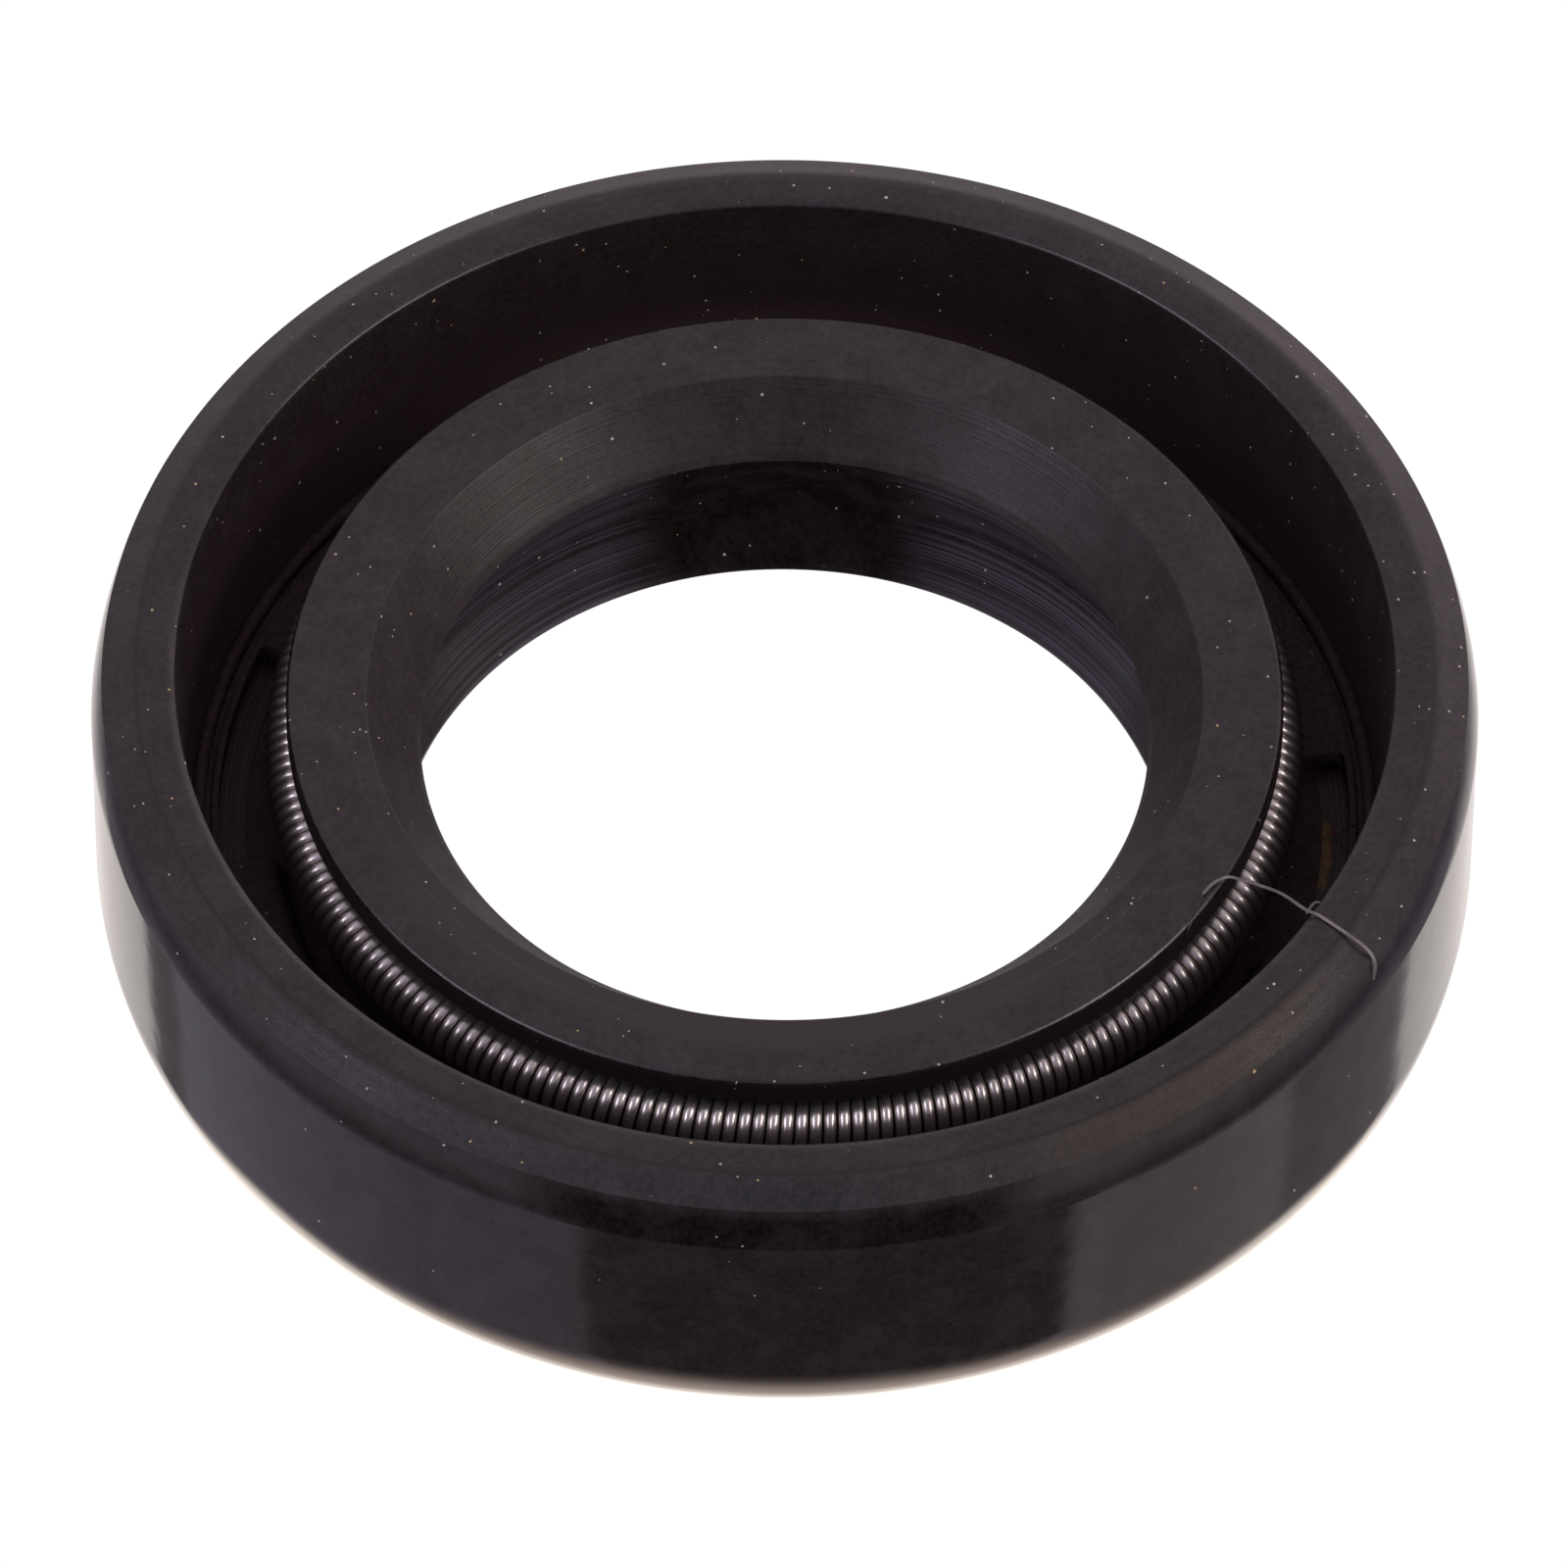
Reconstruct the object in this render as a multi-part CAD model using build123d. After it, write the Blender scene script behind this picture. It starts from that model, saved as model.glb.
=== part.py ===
from build123d import *
from math import radians, sqrt, tan
import os

# Radial shaft seal with a rubber-covered outside, a spring-loaded lip and a dust lip.
# Millimetres. The axis is Z, the back face lies on Z = 0 and the spring side faces +Z.
# A section is drawn with the distance from the axis as x and the height as y.
# "Run" is a length along the radius, "rise" and "fall" are lengths along the axis.

# ---- what the seal fits -------------------------------------------------------------
shaft_d = 16.0              # shaft that the lips run on
housing_bore_d = 28.0       # housing bore that the outside is pressed into
seal_width = 7.0            # back face to rim

# ---- rubber cover on the outside, and the rim ---------------------------------------
lead_in_fall = 0.94
lead_in_angle = 13.5        # from the axis
shoulder_run = 0.695        # sloped shoulder between the rim and the lead-in
shoulder_fall = 0.34
shoulder_round = 0.7        # where the slope leaves the rim
back_corner_run = 1.1       # rounded corner between the side and the back face
back_corner_rise = 1.7
rim_run = 1.72              # outside to the top of the pocket's wall
rim_edge_run = 0.17         # small bevel on the rim's inner edge
rim_edge_fall = 0.07

# ---- pocket behind the rim ----------------------------------------------------------
pocket_draft = 3.0          # taper of the pocket's wall, from the axis
bead_run = 0.25             # round bead at the foot of the wall
bead_rise = 0.22            # over the floor
bead_groove_run = 0.15      # groove beside the bead
bead_groove_depth = 0.15
floor_skin = 0.5            # rubber over the steel ring's flange
floor_edge_round = 0.15
valley_depth = 0.55         # valley round the lip, under the floor
valley_round = 0.12

# ---- across the pocket's floor, from the lip's stem out to the bead's groove ---------
# The five runs fill that room between them, so they widen and narrow with it.
stem_draft_run = 0.15       # taper of the stem down to the valley
valley_run = 0.36           # flat bottom of the valley
valley_slope_run = 0.27     # up to the floor's edge
floor_reach = 0.52          # floor's edge to the steel flange's edge
flange_reach = 0.683        # flange's edge to the bead's groove

# ---- gaps that the mould's supports leave in the floor ------------------------------
support_count = 6
support_first_angle = 53.2
support_half_angle = 14.5
support_corner_round = 0.12
support_margin = 0.14       # floor left between a gap and the bead's groove

# ---- steel ring ---------------------------------------------------------------------
steel = 0.8                 # sheet thickness
side_cover = 0.7            # rubber outside the ring
back_cover = 1.1            # rubber under the flange
rim_cover = 0.7             # rubber over the ring's open end
inner_bend = 0.12           # inside radius of the bend

# ---- sealing lip --------------------------------------------------------------------
lip_interference = 1.28     # the free lip is this much smaller than the shaft
head_fall = 0.95            # rim to the flat face of the lip's head
head_step_fall = 0.03       # fine step on that face
head_step_run = 0.42        # from the top edge of the cone
cone_run = 0.99             # oil-side cone
cone_fall = 1.26
trim_run = 0.1              # trimmed facet beside the sealing edge
trim_fall = 0.16
heel_run = 1.24             # air-side face, from the sealing edge out to the heel
heel_height = 2.07
heel_round = 0.2
stem_run = 1.05             # heel to the outer side of the lip
stem_round = 0.25

# ---- spring and its groove ----------------------------------------------------------
coil_d = 1.4                # outside of the coil
spring_clearance = 0.02
spring_reach = 2.46         # sealing edge to the middle of the coil, along the radius
spring_offset = 0.23        # and along the axis, towards the air side
head_overhang = 0.25        # the head's face beyond the middle of the coil
head_flare = 0.30           # the head is wider at its face than over the spring
head_edge_round = 0.1
groove_lip_run = 0.12       # groove's lower edge beyond the middle of the coil

# ---- dust lip and the ditch behind it -----------------------------------------------
dust_interference = 0.22    # smaller than the shaft
dust_tip_height = 0.5
dust_land = 0.14            # short straight land on the tip
dust_tip_run = 0.42         # end face of the tip
dust_tip_fall = 0.22
ditch_run = 0.62            # end face of the tip to the top of the ditch
ditch_height = 1.2
ditch_round = 0.22
ditch_slope_run = 0.8

# ---- sizes that follow --------------------------------------------------------------
outer_r = housing_bore_d / 2
shoulder_z = seal_width - shoulder_fall
lead_in_r = outer_r - lead_in_fall * tan(radians(lead_in_angle))
shoulder_r = lead_in_r - shoulder_run
wall_top_r = outer_r - rim_run
wall_top_z = seal_width - rim_edge_fall

flange_z = back_cover + steel
floor_z = flange_z + floor_skin
wall_foot_r = wall_top_r - (wall_top_z - floor_z) * tan(radians(pocket_draft))
bead_r = wall_foot_r - bead_run
floor_r = bead_r - bead_groove_run

tube_r = outer_r - side_cover
tube_z = seal_width - rim_cover

lip_r = shaft_d / 2 - lip_interference / 2
cone_r = lip_r + trim_run + cone_run
head_z = seal_width - head_fall
cone_z = head_z - head_step_fall
trim_z = cone_z - cone_fall
lip_z = trim_z - trim_fall
heel_r = lip_r + heel_run
stem_r = heel_r + stem_run

coil_r = coil_d / 2
groove_r = coil_r + spring_clearance
spring_r = lip_r + spring_reach
spring_z = lip_z - spring_offset
head_r = spring_r + head_overhang
head_run = head_overhang - head_flare

floor_runs = stem_draft_run + valley_run + valley_slope_run + floor_reach + flange_reach
floor_stretch = (floor_r - stem_r) / floor_runs
valley_r = stem_r + stem_draft_run * floor_stretch
valley_outer_r = valley_r + valley_run * floor_stretch
floor_inner_r = valley_outer_r + valley_slope_run * floor_stretch
flange_r = floor_inner_r + floor_reach * floor_stretch
valley_z = floor_z - valley_depth
valley_fillet = min(valley_round, 0.45 * (valley_outer_r - valley_r))

dust_r = shaft_d / 2 - dust_interference / 2
dust_end_r = dust_r + dust_tip_run
ditch_r = dust_end_r + ditch_run


def groove_point(run, side):
    """Point on the wall of the spring's groove, above (side 1) or below (side -1)."""
    return (spring_r + run, spring_z + side * sqrt(groove_r ** 2 - run ** 2))


def revolved(outline):
    """Solid of revolution about Z from the closed outline of its section."""
    return revolve(make_face(Plane.XZ * outline), Axis.Z)


# ---- steel ring: a tube with an inward flange, bent from one sheet ------------------
ring_outline = FilletPolyline(
    (flange_r, back_cover),
    (tube_r, back_cover),
    (tube_r, tube_z),
    (tube_r - steel, tube_z),
    (tube_r - steel, flange_z),
    (flange_r, flange_z),
    radius=[0, inner_bend + steel, 0, 0, inner_bend, 0],
    close=True,
)
stiffening_ring = revolved(ring_outline)

# ---- rubber body --------------------------------------------------------------------
# Outside: rounded back corner, pressed side and lead-in.
back_corner = EllipticalCenterArc(
    (outer_r - back_corner_run, back_corner_rise),
    back_corner_run,
    back_corner_rise,
    start_angle=-90,
    arc_size=90,
)
side = Polyline(back_corner @ 1, (outer_r, shoulder_z - lead_in_fall), (lead_in_r, shoulder_z))

# Shoulder and rim, then the pocket: tapered wall, bead with its groove, floor,
# valley and the lip's stem.
rim = FilletPolyline(
    side @ 1,
    (shoulder_r, seal_width),
    (wall_top_r + rim_edge_run, seal_width),
    (wall_top_r, wall_top_z),
    (wall_foot_r, floor_z + bead_rise / 3),
    radius=[shoulder_round, 0, 0],
)
bead = ThreePointArc(
    rim @ 1,
    (wall_foot_r - bead_run / 2, floor_z + bead_rise),
    (bead_r, floor_z),
)
pocket = FilletPolyline(
    bead @ 1,
    (bead_r, floor_z - bead_groove_depth),
    (floor_r, floor_z - bead_groove_depth),
    (floor_r, floor_z),
    (floor_inner_r, floor_z),
    (valley_outer_r, valley_z),
    (valley_r, valley_z),
    (stem_r, (valley_z + spring_z - groove_r) / 2),
    groove_point(groove_lip_run, -1),
    radius=[0, 0, 0, floor_edge_round, valley_fillet, valley_fillet, stem_round],
)

# Spring groove, then the head, both lips and the back face.
groove = ThreePointArc(
    pocket @ 1,
    (spring_r - groove_r, spring_z),
    groove_point(head_run, 1),
)
lips = FilletPolyline(
    groove @ 1,
    (head_r, head_z),
    (cone_r + head_step_run, head_z),
    (cone_r + head_step_run, cone_z),
    (cone_r, cone_z),
    (lip_r + trim_run, trim_z),
    (lip_r, lip_z),
    (heel_r, heel_height),
    (dust_r, dust_tip_height + dust_land),
    (dust_r, dust_tip_height),
    (dust_end_r, dust_tip_height - dust_tip_fall),
    (ditch_r, ditch_height),
    (ditch_r + ditch_slope_run, 0),
    back_corner @ 0,
    radius=[head_edge_round, 0, 0, 0, 0, 0, heel_round, 0, 0, 0, ditch_round, 0],
)
body = revolved(back_corner + side + rim + bead + pocket + groove + lips)

# Gap of one support: from the valley out to the floor's edge, down to the flange.
support_r = floor_r - support_margin
wedge_x = 2 * outer_r
wedge_y = wedge_x * tan(radians(support_half_angle))
wedge = Polygon((0, 0), (wedge_x, -wedge_y), (wedge_x, wedge_y), align=None)
gap = (Circle(support_r) - Circle((valley_r + valley_outer_r) / 2)) & wedge
gap = fillet(gap.vertices().sort_by(Axis.X)[-2:], support_corner_round)
gap = extrude(Pos(0, 0, flange_z) * gap, floor_skin + bead_rise)
gaps = PolarLocations(0, support_count, support_first_angle) * gap

rubber_body = body - gaps - stiffening_ring

# ---- spring: a closed ring with the outside of its coil -----------------------------
garter_spring = Pos(0, 0, spring_z) * Torus(spring_r, coil_r)

pieces = {
    "rubber_body": rubber_body,
    "stiffening_ring": stiffening_ring,
    "garter_spring": garter_spring,
}
os.makedirs("parts", exist_ok=True)
for name, piece in pieces.items():
    solid = piece.solid()
    solid.label = name
    export_step(solid, f"parts/{name}.step")
    print(name, "solids", len(piece.solids()), "volume", round(solid.volume, 2))
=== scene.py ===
import math

import bpy
import numpy as np
from mathutils import Matrix, Vector


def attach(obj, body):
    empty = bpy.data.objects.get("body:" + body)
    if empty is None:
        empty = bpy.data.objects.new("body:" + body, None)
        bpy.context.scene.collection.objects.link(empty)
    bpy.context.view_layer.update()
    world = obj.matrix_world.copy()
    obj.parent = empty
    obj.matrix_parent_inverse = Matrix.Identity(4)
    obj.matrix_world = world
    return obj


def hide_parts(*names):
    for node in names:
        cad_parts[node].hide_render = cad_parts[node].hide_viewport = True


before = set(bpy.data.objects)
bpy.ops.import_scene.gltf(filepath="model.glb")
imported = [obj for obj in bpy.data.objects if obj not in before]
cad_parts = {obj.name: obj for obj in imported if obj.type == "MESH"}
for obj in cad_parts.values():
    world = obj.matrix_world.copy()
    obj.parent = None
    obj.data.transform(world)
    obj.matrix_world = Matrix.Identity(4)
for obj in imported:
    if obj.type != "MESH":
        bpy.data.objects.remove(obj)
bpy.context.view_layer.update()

# Radial shaft seal, 16 x 28 x 7. Sizes in the dictionaries are millimetres, the meshes are metres.
# "R" is a distance from the axis, "Z" a height over the back face.
mm = 0.001
print("frame loaded:", sorted(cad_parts))


def rounded(corners, cuts, steps, support=0.03):
    # Line through the corners with each inner corner replaced by an arc of an ellipse:
    # K is the corner, S and E lie on its two sides at the distance cut,
    # and the arc is S + E - K + cos(t) (K - E) + sin(t) (K - S) for t from 0 to a right angle.
    # One more point stands near each end of every straight stretch, which keeps its shading flat.
    corners = np.asarray(corners, float)
    k = corners[1:-1]
    cut = np.asarray(cuts, float)[:, None]
    before = corners[:-2] - k
    after = corners[2:] - k
    s = k + before / np.linalg.norm(before, axis=1, keepdims=True) * cut
    e = k + after / np.linalg.norm(after, axis=1, keepdims=True) * cut
    t = np.linspace(0, np.pi / 2, steps + 1)[None, :, None]
    arcs = (s + e - k)[:, None] + np.cos(t) * (k - e)[:, None] + np.sin(t) * (k - s)[:, None]
    startPoints = np.vstack([corners[:1], e])
    endPoints = np.vstack([s, corners[-1:]])
    span = endPoints - startPoints
    length = np.linalg.norm(span, axis=1, keepdims=True)
    near = np.minimum(support, 0.3 * length) / length
    supports = np.stack([startPoints + span * near, endPoints - span * near], 1)
    line = [corners[:1], supports[0]]
    for arc, pair in zip(arcs, supports[1:]):
        line += [arc, pair]
    return np.vstack(line + [corners[-1:]])


def arcThrough(start, middle, end, count):
    # Circle through three points: the centre solves |P - start|^2 = |P - middle|^2 = |P - end|^2,
    # and the points stand at even angles from start to end on the side of the middle one.
    a, b, c = (np.asarray(p, float) for p in (start, middle, end))
    centre = np.linalg.solve(2 * np.array([b - a, c - a]), [b @ b - a @ a, c @ c - a @ a])
    turns = [math.atan2(*(p - centre)[::-1]) for p in (a, b, c)]
    sweep = (turns[2] - turns[0]) % (2 * math.pi)
    if (turns[1] - turns[0]) % (2 * math.pi) > sweep:
        sweep -= 2 * math.pi
    angle = turns[0] + np.linspace(0, sweep, count)
    return centre + np.linalg.norm(a - centre) * np.stack([np.cos(angle), np.sin(angle)], 1)


def gridPiece(name, points, closeRows=True, finishes=None):
    # Quads between neighbours of a grid of points (rows, columns, 3) in metres. The columns close into a
    # ring, and so do the rows unless closeRows is False: then the first and last row are each drawn together.
    # The quads are turned over if the volume they enclose, the sum of a.(b x c) + a.(c x d), is negative.
    # finishes gives each column's material number.
    rows, cols = points.shape[:2]
    i, j = np.meshgrid(np.arange(rows if closeRows else rows - 1), np.arange(cols), indexing="ij")
    i2, j2 = (i + 1) % rows, (j + 1) % cols
    quads = np.stack([i * cols + j, i2 * cols + j, i2 * cols + j2, i * cols + j2], -1).reshape(-1, 4)
    flat = points.reshape(-1, 3)
    a, b, c, d = (flat[quads[:, n]] for n in range(4))
    volume = np.einsum("ij,ij->i", a, np.cross(b, c)).sum() + np.einsum("ij,ij->i", a, np.cross(c, d)).sum()
    if volume < 0:
        quads = quads[:, ::-1]
    mesh = bpy.data.meshes.new(name)
    mesh.vertices.add(len(flat))
    mesh.vertices.foreach_set("co", flat.astype(np.float32).ravel())
    mesh.loops.add(quads.size)
    mesh.loops.foreach_set("vertex_index", quads.astype(np.int32).ravel())
    mesh.polygons.add(len(quads))
    mesh.polygons.foreach_set("loop_start", np.arange(0, quads.size, 4, dtype=np.int32))
    mesh.polygons.foreach_set("loop_total", np.full(len(quads), 4, np.int32))
    if finishes is not None:
        mesh.polygons.foreach_set("material_index", np.asarray(finishes, np.int32)[j.ravel()])
    mesh.update(calc_edges=True)
    mesh.validate()
    mesh.shade_smooth()
    piece = bpy.data.objects.new(name, mesh)
    bpy.context.scene.collection.objects.link(piece)
    return piece


rubber = {
    "outerR": 14.0, "width": 7.0,
    "backCornerRun": 1.1, "backCornerRise": 1.7,
    "leadInZ": 5.72, "leadInR": 13.774, "leadInBulge": 0.022, "shoulderZ": 6.66, "shoulderR": 13.079,
    "wallTopR": 12.28, "wallFootR": 12.043, "wallTopZ": 6.93, "rimBevel": 0.17,
    "beadRun": 0.25, "beadRise": 0.22, "grooveRun": 0.15, "grooveDepth": 0.15,
    "floorZ": 2.4, "floorInnerR": 10.434, "valleyOuterR": 10.163, "valleyInnerR": 9.801, "valleyZ": 1.85,
    "stemR": 9.65, "stemZ": 2.75, "springR": 9.82, "springZ": 4.37, "grooveR": 0.72, "grooveLip": 0.12,
    "headR": 10.07, "headLip": -0.05, "headZ": 6.05, "headSideZ": 5.455,
    "headStep": 0.012, "headStepR": 8.87, "headStepRun": 0.03,
    "coneR": 8.45, "trimR": 7.46, "trimZ": 4.76, "lipR": 7.36, "lipZ": 4.6,
    "heelR": 8.6, "heelZ": 2.07,
    "dustR": 7.89, "dustTopZ": 0.64, "dustZ": 0.5, "dustEndR": 8.31, "dustEndZ": 0.28,
    "ditchR": 8.93, "ditchZ": 1.2, "ditchEndR": 9.73,
    "gapCount": 6, "gapFirst": 53.2, "gapHalf": 14.5, "gapMargin": 0.14, "gapCorner": 0.12,
    "floorSupport": 0.1,
    # where some finishes end: beside the spring's middle, under the head's face, past the edges of the bore
    "filmInside": 0.1, "filmOutside": 0.4, "filmUnderHead": 0.1,
    "boreOverLip": 0.01, "boreOutsideHeel": 0.3, "dullUnderHeel": 0.12,
    # points beside the lead-in's two creases that keep the shading flat: one under the lead-in,
    # and two on each side of the shoulder's crease, as shares of the neighbouring stretches
    "sideSupport": 0.03, "creaseShares": [0.02, 0.01], "rimCreaseShare": 0.1,
    # how much of both sides of each inner corner its rounding takes
    "rimCuts": [0.162, 0.06, 0.05],
    "pocketCuts": [0.03, 0.03, 0.015, 0.015, 0.02, 0.13, 0.1, 0.09, 0.2], "pocketSupport": 0.02,
    "headCuts": [0.04, 0.13, 0.012, 0.03],
    "lipCuts": [0.012, 0.012, 0.3, 0.03, 0.03, 0.03, 0.15, 0.04],
    # points along the round stretches, and steps in the roundings
    "cornerPoints": 14, "leadInPoints": 7, "beadPoints": 9, "groovePoints": 10,
    "fineSteps": 5, "coarseSteps": 3,
    # columns round the axis, those added near a gap's end (degrees from it), and the end's own width
    "columns": 396, "closeColumns": [-0.6, -0.3, -0.08, 0.08, 0.3, 0.6], "gapEnd": 0.16,
}
finishNumber = {"pressed": 0, "moulded": 1, "sheltered": 2, "trimmed": 3, "bored": 4, "undercut": 5}


def rubberSection(r, inGap):
    # Closed section of the moulding as distances from the axis and heights,
    # counter-clockwise from the back face, with the floor or with the gap of a mould support,
    # and the finish of each point's stretch.
    beadInR = r["wallFootR"] - r["beadRun"]
    floorR = beadInR - r["grooveRun"]
    gapR = floorR - r["gapMargin"]
    groovedZ = r["floorZ"] - r["grooveDepth"]
    lowLip, topLip = (
        (r["springR"] + run, r["springZ"] + side * math.sqrt(r["grooveR"] ** 2 - run ** 2))
        for run, side in ((r["grooveLip"], -1), (r["headLip"], 1)))
    t = np.linspace(0, np.pi / 2, r["cornerPoints"])
    corner = np.stack([
        r["outerR"] - r["backCornerRun"] * (1 - np.sin(t)),
        r["backCornerRise"] * (1 - np.cos(t)),
    ], 1)
    leadIn = (r["outerR"], r["leadInZ"]), (r["leadInR"], r["shoulderZ"])
    middle = ((leadIn[0][0] + leadIn[1][0]) / 2 + r["leadInBulge"], (leadIn[0][1] + leadIn[1][1]) / 2)
    side = np.vstack([
        corner[-1:], [(r["outerR"], r["leadInZ"] - r["sideSupport"])],
        arcThrough(leadIn[0], middle, leadIn[1], r["leadInPoints"])])
    creaseShares = np.array(r["creaseShares"])[:, None]
    side = np.vstack([side[:-1], side[-1] + creaseShares * (side[-2] - side[-1]), side[-1:]])
    foot = (r["wallFootR"], r["floorZ"] + r["beadRise"] / 3)
    toRim = np.array([r["shoulderR"], r["width"]]) - side[-1]
    crease = side[-1] + creaseShares[::-1] * r["rimCreaseShare"] * toRim
    rim = rounded(
        [crease[1], (r["shoulderR"], r["width"]), (r["wallTopR"] + r["rimBevel"], r["width"]),
         (r["wallTopR"], r["wallTopZ"]), foot],
        r["rimCuts"], r["fineSteps"])
    rim = np.vstack([crease[:1], rim])
    beadTop = (r["wallFootR"] - r["beadRun"] / 2, r["floorZ"] + r["beadRise"])
    bead = arcThrough(foot, beadTop, (beadInR, r["floorZ"]), r["beadPoints"])
    if inGap:
        # the gap's bottom runs a hair under the steel flange, which shows above it
        across = [(gapR, r["floorZ"]), (gapR, r["valleyZ"]), (r["floorInnerR"], r["valleyZ"])]
    else:
        across = [
            (gapR, r["floorZ"]), (gapR - r["floorSupport"], r["floorZ"]), (r["floorInnerR"], r["floorZ"])]
    pocket = rounded(
        [bead[-1], (beadInR, groovedZ), (floorR, groovedZ), (floorR, r["floorZ"])] + across
        + [(r["valleyOuterR"], r["valleyZ"]), (r["valleyInnerR"], r["valleyZ"]),
           (r["stemR"], r["stemZ"]), lowLip],
        r["pocketCuts"], r["coarseSteps"], r["pocketSupport"])
    groove = arcThrough(lowLip, (r["springR"] - r["grooveR"], r["springZ"]), topLip, r["groovePoints"])
    head = rounded(
        [topLip, (r["headR"], r["headSideZ"]), (r["headR"], r["headZ"]), (r["headStepR"], r["headZ"]),
         (r["headStepR"] - r["headStepRun"], r["headZ"] - r["headStep"]),
         (r["coneR"], r["headZ"] - r["headStep"])],
        r["headCuts"], r["fineSteps"])
    lips = rounded(
        [head[-1], (r["trimR"], r["trimZ"]), (r["lipR"], r["lipZ"]), (r["heelR"], r["heelZ"]),
         (r["dustR"], r["dustTopZ"]), (r["dustR"], r["dustZ"]), (r["dustEndR"], r["dustEndZ"]),
         (r["ditchR"], r["ditchZ"]), (r["ditchEndR"], 0), corner[0]],
        r["lipCuts"], r["coarseSteps"])
    stretches = [
        (corner, "pressed"), (side, "pressed"), (rim, "moulded"), (bead, "sheltered"), (pocket, "sheltered"),
        (groove, "sheltered"), (head, "moulded"), (lips, "trimmed")]
    points = np.vstack([line[:-1] for line, _ in stretches])
    finishes = np.concatenate([np.full(len(line) - 1, finishNumber[kind]) for line, kind in stretches])
    pointR, pointZ = points.T
    underHead = (
        (pointR > r["springR"] - r["filmInside"]) & (pointR < r["springR"] + r["filmOutside"])
        & (pointZ < r["headZ"] - r["filmUnderHead"]))
    inBore = (pointZ < r["lipZ"] + r["boreOverLip"]) & (pointR < r["heelR"] + r["boreOutsideHeel"])
    aboveHeel = inBore & (pointZ > r["heelZ"] - r["dullUnderHeel"])
    for place, old, new in (
            (underHead, "moulded", "sheltered"), (inBore, "trimmed", "bored"),
            (aboveHeel, "bored", "undercut")):
        finishes[place & (finishes == finishNumber[old])] = finishNumber[new]
    return points, finishes


def rubberColumns(r):
    # Even angles round the axis, with a few more on each side of the ends of every gap.
    even = np.arange(r["columns"]) * 2 * np.pi / r["columns"]
    ends = (r["gapFirst"] + np.arange(r["gapCount"]) * 360 / r["gapCount"])[:, None]
    ends = np.radians(np.concatenate([ends - r["gapHalf"], ends + r["gapHalf"]], 1)).ravel()
    close = (ends[:, None] + np.radians(r["closeColumns"])).ravel() % (2 * np.pi)
    return np.unique(np.concatenate([even, close]).round(6))


def rubberMesh(r):
    # Surface of revolution whose section changes from floor to gap with the angle:
    # P = section(floor) + m (section(gap) - section(floor)), m rising from 0 to 1 across a gap's end.
    # In plan a gap's outer wall bends in by c - sqrt(c^2 - (c - s)^2) at the distance s < c from its end.
    angle = rubberColumns(r)
    (floor, finishes), (gap, _) = rubberSection(r, False), rubberSection(r, True)
    pitch = 2 * np.pi / r["gapCount"]
    off = np.abs((angle - np.radians(r["gapFirst"]) + pitch / 2) % pitch - pitch / 2)
    inside = np.degrees(np.radians(r["gapHalf"]) - off)
    mask = np.clip(inside / r["gapEnd"] + 0.5, 0, 1)[:, None, None]
    section = floor[None] + mask * (gap - floor)[None]
    gapR = r["wallFootR"] - r["beadRun"] - r["grooveRun"] - r["gapMargin"]
    s = np.clip(np.radians(inside) * gapR, 0, r["gapCorner"])
    bend = (r["gapCorner"] - np.sqrt(r["gapCorner"] ** 2 - (r["gapCorner"] - s) ** 2)) * (inside > 0)
    atWall = (np.abs(gap[:, 0] - gapR) < 0.03) & (gap[:, 1] < r["floorZ"] + 0.001)  # the gap's outer wall
    section[:, atWall, 0] -= bend[:, None]
    x = section[..., 0] * np.cos(angle)[:, None]
    y = section[..., 0] * np.sin(angle)[:, None]
    return np.stack([x, y, section[..., 1]], -1) * mm, finishes


rubberPoints, rubberFinishes = rubberMesh(rubber)
rubberPiece = gridPiece("rubberMoulding", rubberPoints, finishes=rubberFinishes)
print("rubber moulding:", len(rubberPiece.data.polygons) * 2, "triangles")

spring = {
    "ringR": 9.82, "height": 4.37, "coilR": 0.7, "wire": 0.268,
    "turns": 225, "perTurn": 22, "round": 8}


def springMesh(s):
    # Wire carried along a helix bent into a ring: with u round the ring and v = turns u round the coil,
    # the wire's middle is ((R + c cos v) cos u, (R + c cos v) sin u, c sin v), c being the coil's mean radius,
    # and the wire's skin stands w away from it, at even angles in the plane across the wire.
    u = np.linspace(0, 2 * np.pi, s["turns"] * s["perTurn"], endpoint=False)
    v = s["turns"] * u
    wire = s["wire"] / 2
    c = s["coilR"] - wire
    reach = s["ringR"] + c * np.cos(v)
    middle = np.stack([reach * np.cos(u), reach * np.sin(u), s["height"] + c * np.sin(v)], -1)
    out = np.stack([np.cos(v) * np.cos(u), np.cos(v) * np.sin(u), np.sin(v)], -1)
    along = np.roll(middle, -1, 0) - np.roll(middle, 1, 0)
    along /= np.linalg.norm(along, axis=1, keepdims=True)
    out -= along * np.einsum("ij,ij->i", out, along)[:, None]
    out /= np.linalg.norm(out, axis=1, keepdims=True)
    across = np.cross(along, out)
    a = np.linspace(0, 2 * np.pi, s["round"], endpoint=False)[None, :, None]
    return (middle[:, None] + wire * (np.cos(a) * out[:, None] + np.sin(a) * across[:, None])) * mm


springPiece = gridPiece("garterSpringCoil", springMesh(spring))
print("spring:", len(springPiece.data.polygons) * 2, "triangles")

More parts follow.
